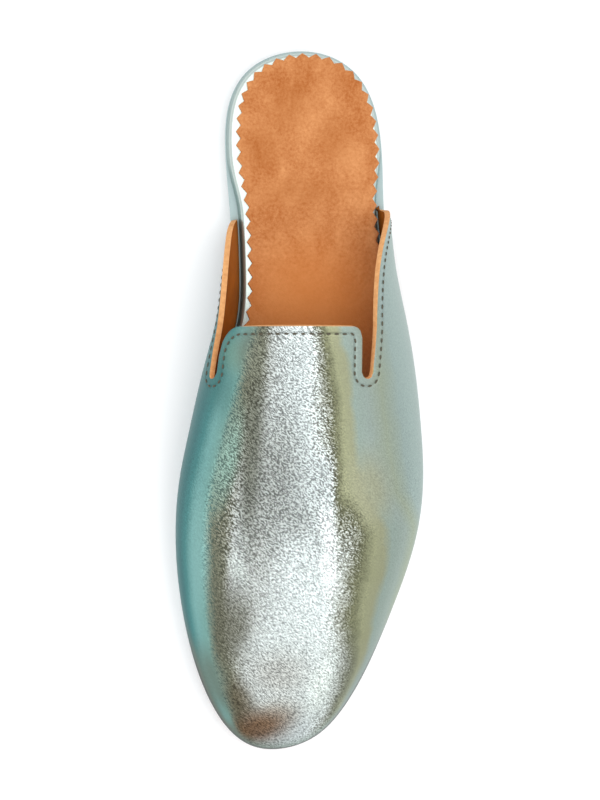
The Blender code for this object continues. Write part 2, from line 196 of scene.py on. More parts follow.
def spline(knots, values):
    """Smooth curve through the values, as a function of its place on the knots."""
    knots = np.asarray(knots, dtype=float)
    values = np.asarray(values, dtype=float)
    gaps = np.diff(knots)
    slopes = np.diff(values) / gaps
    count = len(knots)
    matrix = np.eye(count)
    right = np.zeros(count)
    for i in range(1, count - 1):
        matrix[i, i - 1:i + 2] = gaps[i - 1], 2.0 * (gaps[i - 1] + gaps[i]), gaps[i]
        right[i] = 6.0 * (slopes[i] - slopes[i - 1])
    bends = np.linalg.solve(matrix, right)

    def curve(place):
        i = np.clip(np.searchsorted(knots, place) - 1, 0, count - 2)
        before = (knots[i + 1] - place) / gaps[i]
        after = 1.0 - before
        bulge = (before ** 3 - before) * bends[i] + (after ** 3 - after) * bends[i + 1]
        return before * values[i] + after * values[i + 1] + bulge * gaps[i] ** 2 / 6.0

    return curve


def turn_at(along):
    """Share of the length as a place on the outline: 0 at the toe, 1 at the heel."""
    return 2.0 / math.pi * np.arcsin(np.sqrt(np.clip(along, 0.0, 1.0)))


def along_at(turn):
    """Place on the outline as a share of the length."""
    return np.sin(np.abs(turn) * math.pi / 2.0) ** 2


def ring_spline(medial, lateral, toe, heel):
    """Smooth curve round the outline, medial places below 0 and lateral ones above."""
    places = [turn_at(row[0]) for row in OUTLINE]
    knots = [-place for place in reversed(places)] + [0.0] + places
    values = list(reversed(medial)) + [toe] + list(lateral)
    knots = [k - 2.0 for k in knots[-3:]] + [-1.0] + knots + [1.0] + [k + 2.0 for k in knots[:3]]
    values = values[-3:] + [heel] + values + [heel] + values[:3]
    return spline(knots, values)


def width_at(along):
    """Width that the shares of the outline refer to."""
    share = smooth_step((along - WAIST_START) / (WAIST_END - WAIST_START))
    return BALL_WIDTH + (HEEL_WIDTH - BALL_WIDTH) * share


outline_x = ring_spline(
    [-row[1] * width_at(row[0]) for row in OUTLINE],
    [row[2] * width_at(row[0]) for row in OUTLINE],
    TOE_TIP * BALL_WIDTH,
    HEEL_TIP * HEEL_WIDTH,
)
tuck_in = ring_spline(
    [row[3] * width_at(row[0]) for row in OUTLINE],
    [row[4] * width_at(row[0]) for row in OUTLINE],
    TOE_TUCK * BALL_WIDTH,
    0.0,
)


def widest_points(turn):
    """Points of the widest line, seen from above."""
    return np.stack([outline_x(turn), (along_at(turn) - 0.5) * LENGTH], axis=-1)


def outward(turn):
    """Directions straight out of the outline, seen from above."""
    tangent = widest_points(turn + 0.002) - widest_points(turn - 0.002)
    tangent /= np.linalg.norm(tangent, axis=-1, keepdims=True)
    return np.stack([tangent[..., 1], -tangent[..., 0]], axis=-1)


def edge_points(turn, inset):
    """Points of the sole's own outline, moved inwards by the inset."""
    return widest_points(turn) - outward(turn) * (tuck_in(turn) + inset)[..., None]


def over_outsole(y, height):
    """World height of points at a height over the outsole's upper face."""
    from_toe = y + LENGTH / 2.0
    spring = TOE_SPRING * np.clip(1.0 - from_toe / SPRING_END, 0.0, None) ** 2
    arch = smooth_step((from_toe - ARCH_START) / (HEEL_BREAST - ARCH_START))
    return spring + HEEL_HEIGHT * arch + OUTSOLE_THICKNESS + height


def lift(places, height):
    """Lifts points seen from above to a height over the outsole's upper face."""
    return np.column_stack([places, over_outsole(places[:, 1], height)])


def round_turns(steps):
    """Places round the outline: toe tip, medial side, heel tip, lateral side back."""
    side = np.linspace(0.0, 1.0, steps + 1)
    return np.concatenate([-side, side[-2:0:-1]])


def slab_mesh(name, rings):
    """Closed mesh through rings of points, capped by rungs from side to side.

    A ring of an even count starts at a tip, and one of an odd count at a straight end.
    """
    mesh = bmesh.new()
    loops = [[mesh.verts.new(point) for point in ring] for ring in rings]
    count = len(loops[0])
    for lower, upper in zip(loops, loops[1:]):
        for i in range(count):
            j = (i + 1) % count
            mesh.faces.new([lower[i], lower[j], upper[j], upper[i]])
    for loop in (loops[0], loops[-1]):
        for i in range(count // 2):
            across = (-i - count % 2) % count
            rung = [loop[i], loop[i + 1], loop[across - 1], loop[across]]
            mesh.faces.new(list(dict.fromkeys(rung)))
    bmesh.ops.recalc_face_normals(mesh, faces=mesh.faces)
    data = bpy.data.meshes.new(name)
    mesh.to_mesh(data)
    mesh.free()
    data.shade_smooth()
    return data


def new_piece(data, material, node):
    """Puts a piece on the slipper, in the place of its node of the model if it has one."""
    item = bpy.data.objects.new(data.name, data)
    bpy.context.collection.objects.link(item)
    if material is not None:
        data.materials.append(material)
    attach(item, "root")
    if node is not None:
        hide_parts(node)


turns = round_turns(EDGE_STEPS)
outsole_rings = [lift(edge_points(turns, inset), height) for height, inset in OUTSOLE_PROFILE]

# Vegetable-tanned sole leather: a dense matt hide, tan on its worn face, with fibres
# and faint scuffs along the foot. Its edge is painted blue-grey to go with the upper.
RGBA = {"data_type": "RGBA"}
MULTIPLY_ADD = {"operation": "MULTIPLY_ADD"}
sole_leather, tree, shader = new_material("vegetable_tanned_sole_leather")
coords = add_node(tree, "ShaderNodeTexCoord")
stretched = add_node(
    tree, "ShaderNodeMapping", {}, {"Vector": coords["Object"], "Scale": (3.0, 1.0, 1.0)},
)
fibre = add_node(tree, "ShaderNodeTexNoise", {}, {"Vector": stretched[0], "Scale": 260.0, "Detail": 6.0})
cloud = add_node(
    tree, "ShaderNodeTexNoise", {}, {"Vector": coords["Object"], "Scale": 35.0, "Detail": 4.0},
)
mottle = add_node(tree, "ShaderNodeMath", MULTIPLY_ADD, {0: cloud["Fac"], 1: 0.6, 2: 0.2})
tan = add_node(tree, "ShaderNodeMix", RGBA, {0: mottle[0], 6: linear("#7b5a3c"), 7: linear("#a07a52")})
normal = add_node(tree, "ShaderNodeSeparateXYZ", {}, {0: coords["Normal"]})
paint = add_node(
    tree, "ShaderNodeMapRange", {}, {"Value": normal["Z"], "From Min": -0.9, "From Max": -0.45},
)
painted = add_node(tree, "ShaderNodeMix", RGBA, {0: paint[0], 6: tan[2], 7: linear("#a3b8b8")})
rough = add_node(tree, "ShaderNodeMapRange", {}, {"Value": paint[0], "To Min": 0.7, "To Max": 0.42})
bump = add_node(
    tree, "ShaderNodeBump", {}, {"Strength": 0.35, "Distance": 0.0002, "Height": fibre["Fac"]},
)
feed(tree, shader, {"Base Color": painted[2], "Roughness": rough[0], "Normal": bump[0]})

outsole_data = slab_mesh("outsole_leather", outsole_rings)
outsole_data.set_sharp_from_angle(angle=SHARP_ANGLE)
new_piece(outsole_data, sole_leather, "outsole")


# Heel. A low lift of two pasted layers of the same leather, nailed and cemented under
# the back of the outsole, trimmed with a slight taper and painted like the sole's edge.

HEEL_TAPER = 0.001
SOLE_MARGIN = 0.0004
HEEL_STEPS = 70
HEEL_TOP = HEEL_HEIGHT - CLEARANCE

# Height over the ground and inset of its side, with the groove between its two layers
HEEL_PROFILE = (
    (0.0, 0.0005),
    (0.0005, 0.0),
    (0.0028, 0.0),
    (0.0030, 0.00018),
    (0.0032, 0.0),
    (HEEL_TOP - 0.0002, 0.0),
    (HEEL_TOP, 0.0002),
)

breast = float(turn_at(HEEL_BREAST / LENGTH))
share = np.linspace(0.0, 1.0, HEEL_STEPS + 1)
from_breast = breast + (1.0 - breast) * share
heel_turns = np.concatenate([-from_breast, from_breast[-2::-1]])
heel_rings = []
for height, inset in HEEL_PROFILE:
    taper = HEEL_TAPER * (1.0 - height / HEEL_HEIGHT)
    places = edge_points(heel_turns, SOLE_MARGIN + taper + inset)
    places[0, 1] += inset
    places[-1, 1] += inset
    heel_rings.append(np.column_stack([places, np.full(len(places), height)]))

heel_data = slab_mesh("heel_lift", heel_rings)
heel_data.set_sharp_from_angle(angle=SHARP_ANGLE)
new_piece(heel_data, sole_leather, "heel")


# Footbed. An insole board wrapped in the upper's own leather, pulled round its edge
# and pasted underneath. Its rounded rim shows all round the suede sock at the heel.

UPPER_WALL = 0.002
SIDE_CLEARANCE = 0.0005
WING_RECESS_LEAD = 0.0015
WING_RECESS_RUN = 0.022
MEDIAL_WING_END = 0.1940
LATERAL_WING_END = 0.1978
FOOTBED_THICKNESS = 0.005
FOOTBED_EDGE_RADIUS = 0.0013
UNDERSIDE_INSET = 0.0006
UNDERSIDE_RISE = 0.0004
SIDE_LEAN = 0.0008
ROUND_STEPS = 8


def past_wing(turn):
    """0 beside the upper, 1 on the open heel, with a smooth change behind the wings."""
    end = np.where(turn > 0.0, LATERAL_WING_END, MEDIAL_WING_END)
    return smooth_step((along_at(turn) * LENGTH - end - WING_RECESS_LEAD) / WING_RECESS_RUN)


def footbed_inset(turn):
    """How far the footbed's side lies inside the outsole's edge: deeper under the upper."""
    return SOLE_MARGIN + (UPPER_WALL + SIDE_CLEARANCE) * (1.0 - past_wing(turn))


footbed_rings = [
    lift(edge_points(turns, footbed_inset(turns) + UNDERSIDE_INSET), CLEARANCE),
    lift(edge_points(turns, footbed_inset(turns)), CLEARANCE + UNDERSIDE_RISE),
]
for step in range(ROUND_STEPS + 1):
    angle = step / ROUND_STEPS * math.pi / 2.0
    inset = SIDE_LEAN + FOOTBED_EDGE_RADIUS * (1.0 - math.cos(angle))
    drop = FOOTBED_EDGE_RADIUS * (1.0 - math.sin(angle))
    places = edge_points(turns, footbed_inset(turns) + inset)
    footbed_rings.append(lift(places, FOOTBED_THICKNESS - drop))

# Foil leather on the board: the same pearly skin as the upper, stretched tighter, so
# its grain is finer and it shines a little more evenly. Its upright side is painted
# darker than its top, a painted shade.
SMOOTH = {"interpolation_type": "SMOOTHSTEP"}
board_leather, tree, shader = new_material("foil_leather_on_board")
coords = add_node(tree, "ShaderNodeTexCoord")
grain = add_node(
    tree, "ShaderNodeTexNoise", {}, {"Vector": coords["Object"], "Scale": 900.0, "Detail": 3.0},
)
soft = add_node(
    tree, "ShaderNodeTexNoise", {}, {"Vector": coords["Object"], "Scale": 60.0, "Detail": 3.0},
)
pearl = add_node(
    tree, "ShaderNodeMix", RGBA, {0: soft["Fac"], 6: linear("#a9bab4"), 7: linear("#d3dcd6")},
)
normal = add_node(tree, "ShaderNodeSeparateXYZ", {}, {0: coords["Normal"]})
upper_face = add_node(
    tree, "ShaderNodeMapRange", SMOOTH, {"Value": normal["Z"], "From Min": 0.20, "From Max": 0.65},
)
# The side, where the normal leans out, takes a darker tint: painted shade.
side_in_painted_shade = add_node(tree, "ShaderNodeMix", RGBA, {0: upper_face[0], 6: linear("#8ba49f"), 7: pearl[2]})
shine = add_node(tree, "ShaderNodeMapRange", {}, {"Value": upper_face[0], "To Min": 0.35, "To Max": 0.75})
bump = add_node(
    tree, "ShaderNodeBump", {}, {"Strength": 0.25, "Distance": 0.0001, "Height": grain["Fac"]},
)
feed(tree, shader, {
    "Base Color": side_in_painted_shade[2], "Metallic": shine[0], "Roughness": 0.36, "Normal": bump[0],
})
footbed_data = slab_mesh("footbed_wrapped", footbed_rings)
new_piece(footbed_data, board_leather, "footbed")


# Sock. A sheet of tan suede cut with pinking shears, glued on the footbed a little
# towards the outer side and the back, so that more of the rim shows on the inner side.

SOCK_THICKNESS = 0.0012
SOCK_HEEL_INSET = 0.0021
SOCK_WAIST_INSET = 0.0013
SOCK_SHIFT = np.array([0.0012, 0.0013])
PINKING_PITCH = 0.0046
PINKING_DEPTH = 0.0017
TOOTH_STEPS = 4
PINKING_FADE = 0.0045
SIDE_STEPS = 800
GLUE_LINE = 0.00005
RIM_REACH = 0.96
CUT_EDGE_RISE = 0.75

# How far in from the edge the rings of its underside and of its face lie
UNDER_RINGS = (0.0060, 0.0045, 0.0030, 0.0015, 0.0005, 0.0)
FACE_RINGS = (0.0003, 0.0010, 0.0020, 0.0030, 0.0045, 0.0060)


def sock_side(sign, teeth):
    """Places and insets of one side from toe to heel, and its tooth wave, 0 to 1."""
    fine = np.linspace(0.0, 1.0, SIDE_STEPS) * sign
    places = edge_points(fine, footbed_inset(fine))
    run = np.concatenate([[0.0], np.cumsum(np.linalg.norm(np.diff(places, axis=0), axis=1))])
    steps = teeth * TOOTH_STEPS
    turn = np.interp(np.linspace(0.0, run[-1], steps + 1), run, np.abs(fine)) * sign
    rim = SOCK_WAIST_INSET + (SOCK_HEEL_INSET - SOCK_WAIST_INSET) * past_wing(turn)
    inset = rim - outward(turn) @ SOCK_SHIFT
    phase = np.arange(steps + 1) / TOOTH_STEPS % 1.0
    return turn, inset, 1.0 - np.abs(2.0 * phase - 1.0)


half_round = math.pi / 2.0 * (LENGTH - BALL_WIDTH) / 2.0 + LENGTH / 2.0
tooth_count = round(half_round / PINKING_PITCH)
medial_side = sock_side(MEDIAL, tooth_count)
lateral_side = sock_side(LATERAL, tooth_count)
sock_turn, sock_inset, tooth = [
    np.concatenate([medial, lateral[-2:0:-1]]) for medial, lateral in zip(medial_side, lateral_side)
]


def sock_ring(inwards, lift_off):
    """Ring some way in from the sock's edge, bent with the footbed's rounded rim."""
    teeth = tooth * PINKING_DEPTH * max(0.0, 1.0 - inwards / PINKING_FADE)
    inset = sock_inset + teeth + inwards
    reach = FOOTBED_EDGE_RADIUS * RIM_REACH
    from_top = np.clip(SIDE_LEAN + FOOTBED_EDGE_RADIUS - inset, 0.0, reach)
    drop = FOOTBED_EDGE_RADIUS - np.sqrt(FOOTBED_EDGE_RADIUS ** 2 - from_top ** 2)
    places = edge_points(sock_turn, footbed_inset(sock_turn) + inset)
    return lift(places, FOOTBED_THICKNESS - drop + lift_off)


sock_rings = [sock_ring(inwards, GLUE_LINE) for inwards in UNDER_RINGS]
sock_rings.append(sock_ring(0.0, CLEARANCE + SOCK_THICKNESS * CUT_EDGE_RISE))
sock_rings += [sock_ring(inwards, CLEARANCE + SOCK_THICKNESS) for inwards in FACE_RINGS]


def colour_ramp(tree, value, stops):
    """Colour for a value, from stops that give a place, 0 to 1, and the colour there."""
    ramp = tree.nodes.new("ShaderNodeValToRGB")
    tree.links.new(value, ramp.inputs["Fac"])
    elements = ramp.color_ramp.elements
    while len(elements) < len(stops):
        elements.new(0.5)
    for element, (place, colour) in zip(elements, stops):
        element.position = place
        element.color = colour
    return ramp.outputs["Color"]


def tint_patches(tree, coords, colour, patches):
    """Lays soft patches of other tints over a colour, turned ellipses seen from above."""
    for across, along, half_width, half_length, turned, cover, tint in patches:
        beside = add_node(
            tree, "ShaderNodeMapping", {"vector_type": "TEXTURE"},
            {
                "Vector": coords["Object"], "Location": (across, along, 0.0),
                "Rotation": (0.0, 0.0, math.radians(turned)), "Scale": (half_width, half_length, 1.0),
            },
        )
        far = add_node(tree, "ShaderNodeVectorMath", {"operation": "LENGTH"}, {0: beside[0]})
        mask = add_node(
            tree, "ShaderNodeMapRange", SMOOTH,
            {"Value": far["Value"], "From Min": 0.2, "From Max": 1.35, "To Min": cover, "To Max": 0.0},
        )
        patch = add_node(tree, "ShaderNodeMix", RGBA, {0: mask[0], 6: colour, 7: linear(tint)})
        colour = patch[2]
    return colour


# The first patch is painted light: a lighter, warmer pool on the sock under the throat and the flap, where
# the sock lies in shade. The others are darker patches on the heel seat.
# Place across and along, half width, half length, turn in degrees, cover and tint
SUEDE_PATCHES = (
    (0.006, 0.028, 0.034, 0.030, 0.0, 0.80, "#d98747"),
    (-0.004, 0.108, 0.008, 0.012, -30.0, 0.35, "#a5602c"),
    (-0.014, 0.092, 0.008, 0.010, 0.0, 0.35, "#a5602c"),
    (0.013, 0.095, 0.007, 0.010, 10.0, 0.35, "#a5602c"),
    (0.000, 0.076, 0.018, 0.006, 0.0, 0.35, "#a5602c"),
)

# Suede: split hide with a brushed nap. It is matt, its nap lies in light and dark
# patches where it was stroked, and a soft sheen lifts it where it is seen edge on.
suede, tree, shader = new_material("tan_suede")
coords = add_node(tree, "ShaderNodeTexCoord")
stroked = add_node(tree, "ShaderNodeMapping", {}, {"Vector": coords["Object"], "Scale": (1.3, 0.8, 1.0)})
patches = add_node(
    tree, "ShaderNodeTexNoise", {},
    {"Vector": stroked[0], "Scale": 60.0, "Detail": 5.0, "Roughness": 0.62, "Distortion": 0.4},
)
nap = add_node(
    tree, "ShaderNodeTexNoise", {},
    {"Vector": coords["Object"], "Scale": 900.0, "Detail": 4.0, "Roughness": 0.7},
)
tone = add_node(tree, "ShaderNodeMath", MULTIPLY_ADD, {0: nap["Fac"], 1: 0.50, 2: -0.03})
both = add_node(tree, "ShaderNodeMath", MULTIPLY_ADD, {0: patches["Fac"], 1: 0.75, 2: tone[0]})
brushed = colour_ramp(tree, both[0], ((0.44, linear("#a96230")), (0.76, linear("#d0905c"))))
# Over the brushed nap go the listed patches, the first of them painted light under the throat.
nap_and_painted_light = tint_patches(tree, coords, brushed, SUEDE_PATCHES)
bump = add_node(tree, "ShaderNodeBump", {}, {"Strength": 0.6, "Distance": 0.0003, "Height": nap["Fac"]})
feed(tree, shader, {
    "Base Color": nap_and_painted_light, "Roughness": 0.95, "Specular IOR Level": 0.15,
    "Sheen Weight": 0.35, "Sheen Roughness": 0.5, "Sheen Tint": linear("#e8b48c"),
    "Normal": bump[0],
})
sock_data = slab_mesh("suede_sock", sock_rings)
sock_data.set_sharp_from_angle(angle=math.radians(30.0))
new_piece(sock_data, suede, "sock")


# Upper. One piece of foil leather, pasted to a kid lining, lasted over the forefoot
# and cemented between footbed and outsole. Its cut edge is left raw. Behind the
# throat it is slit twice, which leaves a flap on the instep between two wings.

INSTEP_HEIGHT = 0.052
FULLNESS = 2.25
VAMP_LENGTH = 0.1543
NOTCH_LENGTH = 0.0162
NOTCH_MOUTH_WIDTH = 0.0067
NOTCH_END_WIDTH = 0.0046
FLAP_GIRTH = {MEDIAL: 0.0290, LATERAL: 0.0260}
FLAP_CORNER = {MEDIAL: 0.0100, LATERAL: 0.004}
WING_END = {MEDIAL: MEDIAL_WING_END, LATERAL: LATERAL_WING_END}
WING_HOLD = {MEDIAL: 1.1, LATERAL: 2.0}
CUT_EDGE_EASE = 0.0003
CUT_EDGE_ANGLE = math.radians(50.0)
SEAM_INSET = 0.0028

# Share of LENGTH from the toe, height of the ridge over the sole and its place
# across, and height of the widest line on the medial and lateral side. Heights are
# shares of INSTEP_HEIGHT and the ridge's place is a share of BALL_WIDTH.
SECTIONS = np.array((
    (0.0000, 0.095, -0.110, 0.095, 0.095),
    (0.0168, 0.215, -0.105, 0.105, 0.105),
    (0.0543, 0.315, -0.098, 0.120, 0.120),
    (0.1289, 0.415, -0.085, 0.150, 0.150),
    (0.2035, 0.500, -0.076, 0.185, 0.170),
    (0.3152, 0.630, -0.068, 0.250, 0.190),
    (0.3898, 0.730, -0.064, 0.310, 0.195),
    (0.4645, 0.835, -0.060, 0.370, 0.195),
    (0.5391, 0.930, -0.057, 0.425, 0.190),
    (0.6137, 1.005, -0.055, 0.460, 0.180),
    (0.6883, 0.995, -0.055, 0.430, 0.160),
    (0.7629, 0.870, -0.055, 0.230, 0.140),
))

# Rows and columns of the fine mesh, about a millimetre apart
TOE_ROWS = 120
NOTCH_ROWS = 18
WING_ROWS = 44
TUCK_COLUMNS = 10
WALL_COLUMNS = 28
NOTCH_COLUMNS = 8
FLAP_COLUMNS = 30
COLUMNS = TUCK_COLUMNS + WALL_COLUMNS + NOTCH_COLUMNS + FLAP_COLUMNS
WING_COLUMN = TUCK_COLUMNS + WALL_COLUMNS
FLAP_COLUMN = WING_COLUMN + NOTCH_COLUMNS
NOTCH_END = VAMP_LENGTH - NOTCH_LENGTH
NOTCH_RADIUS = NOTCH_END_WIDTH / 2.0
NOTCH_POINTS = 13
WING_POINTS = 120
CLIMB_POINTS = 201
TOE_CROWDING = 0.2
ROUNDING_ROWS = 8.0
WELD_DISTANCE = 0.00001

section_turns = turn_at(SECTIONS[:, 0])
crown_height = spline(section_turns, SECTIONS[:, 1] * INSTEP_HEIGHT)
ridge_x = spline(section_turns, SECTIONS[:, 2] * BALL_WIDTH)
swell_height = {
    MEDIAL: spline(section_turns, SECTIONS[:, 3] * INSTEP_HEIGHT),
    LATERAL: spline(section_turns, SECTIONS[:, 4] * INSTEP_HEIGHT),
}


def upper_points(side, from_toe, climb):
    """Points of the outer face. climb is 0 at the foot, 1 at the widest line, 2 on the ridge."""
    from_toe, climb = np.broadcast_arrays(np.asarray(from_toe, float), np.asarray(climb, float))
    turn = turn_at(from_toe / LENGTH)
    swell = swell_height[side](turn)
    low = np.clip(climb, 0.0, 1.0)
    tuck = (tuck_in(side * turn) + SOLE_MARGIN) * (1.0 - smooth_step(low))
    place = widest_points(side * turn) - outward(side * turn) * tuck[..., None]
    angle = np.clip(climb - 1.0, 0.0, 1.0) * math.pi / 2.0
    across = np.clip(np.cos(angle), 0.0, 1.0) ** (2.0 / FULLNESS)
    rise = np.sin(angle) ** (2.0 / FULLNESS)
    ridge = ridge_x(turn)
    x = ridge + (place[..., 0] - ridge) * across
    height = CLEARANCE + (swell - CLEARANCE) * low + (crown_height(turn) - swell) * rise
    return np.stack([x, place[..., 1], over_outsole(place[..., 1], height)], axis=-1)


def climb_where(side, from_toe, wanted, measure):
    """Climb of the point with the wanted girth from the ridge, or height over the sole."""
    climbs = np.linspace(2.0, 0.0, CLIMB_POINTS)
    points = upper_points(side, from_toe, climbs)
    if measure == "girth":
        lengths = np.linalg.norm(np.diff(points, axis=0), axis=1)
        return np.interp(wanted, np.concatenate([[0.0], np.cumsum(lengths)]), climbs)
    heights = points[:, 2] - over_outsole(points[:, 1], 0.0)
    return np.interp(wanted, heights[::-1], climbs[::-1])


notch_places = np.linspace(NOTCH_END, VAMP_LENGTH, NOTCH_POINTS)
notch_widths = np.linspace(NOTCH_END_WIDTH, NOTCH_MOUTH_WIDTH, NOTCH_POINTS)
notch_inner = {}
notch_outer = {}
wing_places = {}
wing_tops = {}
for hand in (MEDIAL, LATERAL):
    flap_edge = FLAP_GIRTH[hand]
    notch_inner[hand] = [climb_where(hand, place, flap_edge, "girth") for place in notch_places]
    notch_outer[hand] = [
        climb_where(hand, place, flap_edge + width, "girth")
        for place, width in zip(notch_places, notch_widths)
    ]
    start = upper_points(hand, VAMP_LENGTH, notch_outer[hand][-1])
    start_height = start[2] - over_outsole(start[1], 0.0)
    gone = np.sin(np.linspace(0.0, 1.0, WING_POINTS) * math.pi / 2.0)
    wing_places[hand] = VAMP_LENGTH + (WING_END[hand] - VAMP_LENGTH) * gone
    tops = start_height * np.sqrt(np.clip(1.0 - gone ** WING_HOLD[hand], 0.0, 1.0))
    wing_tops[hand] = [climb_where(hand, d, top, "height") for d, top in zip(wing_places[hand], tops)]


def column_climb(side, from_toe, column):
    """Climb of a column of the vamp: tuck, wall, notch and flap columns in turn."""
    outer = np.interp(from_toe, notch_places, notch_outer[side])
    inner = np.interp(from_toe, notch_places, notch_inner[side])
    wall = (column - TUCK_COLUMNS) / WALL_COLUMNS
    slit = (column - WING_COLUMN) / NOTCH_COLUMNS
    flap = (column - FLAP_COLUMN) / FLAP_COLUMNS
    return np.select(
        [column <= TUCK_COLUMNS, column <= WING_COLUMN, column <= FLAP_COLUMN],
        [column / TUCK_COLUMNS + 0.0 * outer, 1.0 + (outer - 1.0) * wall, outer + (inner - outer) * slit],
        inner + (2.0 - inner) * flap,
    )


def vamp_distance(row, column):
    """Distance from the toe tip of a point of the vamp, with the notch's round end."""
    share = row / TOE_ROWS
    distance = NOTCH_END * share * share * (1.0 + TOE_CROWDING) / (share + TOE_CROWDING)
    off_centre = np.clip((column - WING_COLUMN) / NOTCH_COLUMNS * 2.0 - 1.0, -1.0, 1.0)
    near = np.clip(1.0 - (TOE_ROWS - row) / ROUNDING_ROWS, 0.0, 1.0)
    return distance - near * NOTCH_RADIUS * np.sqrt(1.0 - off_centre ** 2)


def flap_distance(side, row, column):
    """Distance from the toe tip of a point of the flap, with its rounded corner."""
    corner = FLAP_CORNER[side]
    from_edge = (column - FLAP_COLUMN) / FLAP_COLUMNS * FLAP_GIRTH[side]
    short = np.clip(corner - from_edge, 0.0, None)
    end = VAMP_LENGTH - (corner - np.sqrt(corner ** 2 - short ** 2))
    return NOTCH_END + (end - NOTCH_END) * row / NOTCH_ROWS


def wing_edge(side, from_toe):
    """Climb of the wing's top edge: beside the notch, then down a curve to its rounded end."""
    beside = np.interp(from_toe, notch_places, notch_outer[side])
    behind = np.interp(from_toe, wing_places[side], wing_tops[side])
    return np.where(from_toe <= VAMP_LENGTH, beside, behind)


def wing_distance(side, row):
    """Distance from the toe tip of a row of the wing, closer rows at its rounded end."""
    share = np.clip((row - NOTCH_ROWS) / WING_ROWS, 0.0, 1.0)
    back = VAMP_LENGTH + (WING_END[side] - VAMP_LENGTH) * np.sin(share * math.pi / 2.0)
    return np.where(row <= NOTCH_ROWS, NOTCH_END + NOTCH_LENGTH * row / NOTCH_ROWS, back)


def wing_climb(side, from_toe, column):
    """Climb of a column of the wing, which keeps its share of the wall's height."""
    at_notch = column_climb(side, np.full_like(from_toe, NOTCH_END), column)
    return at_notch / notch_outer[side][0] * wing_edge(side, from_toe)


# Soft dents and folds of the vamp: place across and along, length, width, the turn of
# its long axis from the slipper's own, and depth, all in metres and degrees.
FOLDS = (
    (-0.019, -0.052, 0.026, 0.0060, 8.0, 0.00045),
    (-0.026, -0.060, 0.020, 0.0040, 10.0, -0.00020),
    (0.001, -0.036, 0.020, 0.0090, -6.0, 0.00035),
    (0.010, -0.045, 0.024, 0.0045, 3.0, -0.00035),
    (0.018, -0.010, 0.030, 0.0060, 0.0, -0.00012),
    (-0.008, -0.072, 0.018, 0.0090, 25.0, -0.00025),
    (-0.010, -0.096, 0.014, 0.0090, 40.0, 0.00025),
    (0.009, -0.100, 0.014, 0.0060, -25.0, -0.00022),
    (0.004, -0.114, 0.008, 0.0080, 0.0, 0.00020),
    (-0.020, 0.004, 0.016, 0.0060, 4.0, 0.00020),
)

mesh = bmesh.new()
for hand in (MEDIAL, LATERAL):
    blocks = []
    row, column = np.meshgrid(np.arange(TOE_ROWS + 1.0), np.arange(COLUMNS + 1.0), indexing="ij")
    distance = vamp_distance(row, column)
    blocks.append(upper_points(hand, distance, column_climb(hand, distance, column)))
    row, column = np.meshgrid(
        np.arange(NOTCH_ROWS + 1.0), np.arange(FLAP_COLUMN, COLUMNS + 1.0), indexing="ij",
    )
    distance = flap_distance(hand, row, column)
    blocks.append(upper_points(hand, distance, column_climb(hand, distance, column)))
    row, column = np.meshgrid(
        np.arange(NOTCH_ROWS + WING_ROWS + 1.0), np.arange(WING_COLUMN + 1.0), indexing="ij",
    )
    distance = wing_distance(hand, row)
    blocks.append(upper_points(hand, distance, wing_climb(hand, distance, column)))
    for block in blocks:
        lines = [[mesh.verts.new(point) for point in line] for line in block]
        for line, ahead in zip(lines, lines[1:]):
            for i in range(len(line) - 1):
                corners = [line[i], line[i + 1], ahead[i + 1], ahead[i]]
                mesh.faces.new(corners[::hand])
bmesh.ops.remove_doubles(mesh, verts=mesh.verts, dist=WELD_DISTANCE)
bmesh.ops.dissolve_degenerate(mesh, edges=mesh.edges, dist=WELD_DISTANCE / 2.0)
bmesh.ops.recalc_face_normals(mesh, faces=mesh.faces)
mesh.normal_update()
for vertex in mesh.verts:
    x, y, _ = vertex.co
    depth = 0.0
    for across, along, length, width, turned, deep in FOLDS:
        cosine = math.cos(math.radians(turned))
        sine = math.sin(math.radians(turned))
        run = ((y - along) * cosine + (x - across) * sine) / length
        off = ((x - across) * cosine - (y - along) * sine) / width
        depth += deep * math.exp(-run * run - off * off)
    facing = max(0.0, vertex.normal.z)
    vertex.co -= vertex.normal * depth * facing
shell_data = bpy.data.meshes.new("upper_leather")
mesh.to_mesh(shell_data)
mesh.free()


# Points on the wing's top, the notch's round end, the slit's side and half the throat
TOP_POINTS = 700
ROUND_POINTS = 60
SLIT_POINTS = 120
THROAT_POINTS = 300
TIP_GAP = 0.01
CORNER_CROWDING = 1.6


def edge_path():
    """The cut edge from the medial wing's tip round the throat to the lateral one's."""
    paths = []
    for hand in (MEDIAL, LATERAL):
        row = np.linspace(NOTCH_ROWS + WING_ROWS - TIP_GAP, 0.0, TOP_POINTS)
        distance = wing_distance(hand, row)
        top = upper_points(hand, distance, wing_edge(hand, distance))
        column = np.linspace(WING_COLUMN, FLAP_COLUMN, ROUND_POINTS)
        distance = vamp_distance(np.full_like(column, TOE_ROWS), column)
        bottom = upper_points(hand, distance, column_climb(hand, distance, column))
        row = np.linspace(0.0, NOTCH_ROWS, SLIT_POINTS)
        column = np.full_like(row, FLAP_COLUMN)
        distance = flap_distance(hand, row, column)
        slit = upper_points(hand, distance, column_climb(hand, distance, column))
        share = np.linspace(0.0, 1.0, THROAT_POINTS)
        column = FLAP_COLUMN + FLAP_COLUMNS * share ** CORNER_CROWDING
        distance = flap_distance(hand, np.full_like(column, NOTCH_ROWS), column)
        throat = upper_points(hand, distance, column_climb(hand, distance, column))
        paths.append(np.concatenate([top, bottom[1:], slit[1:], throat[1:]]))
    return np.concatenate([paths[0], paths[1][-2::-1]])


cut_edge = edge_path()
tree_of_edge = KDTree(len(cut_edge))
for i, point in enumerate(cut_edge):
    tree_of_edge.insert(point, i)
tree_of_edge.balance()
from_edge = shell_data.attributes.new("from_cut_edge", "FLOAT", "POINT")
distances = [tree_of_edge.find(vertex.co)[2] for vertex in shell_data.vertices]
from_edge.data.foreach_set("value", distances)
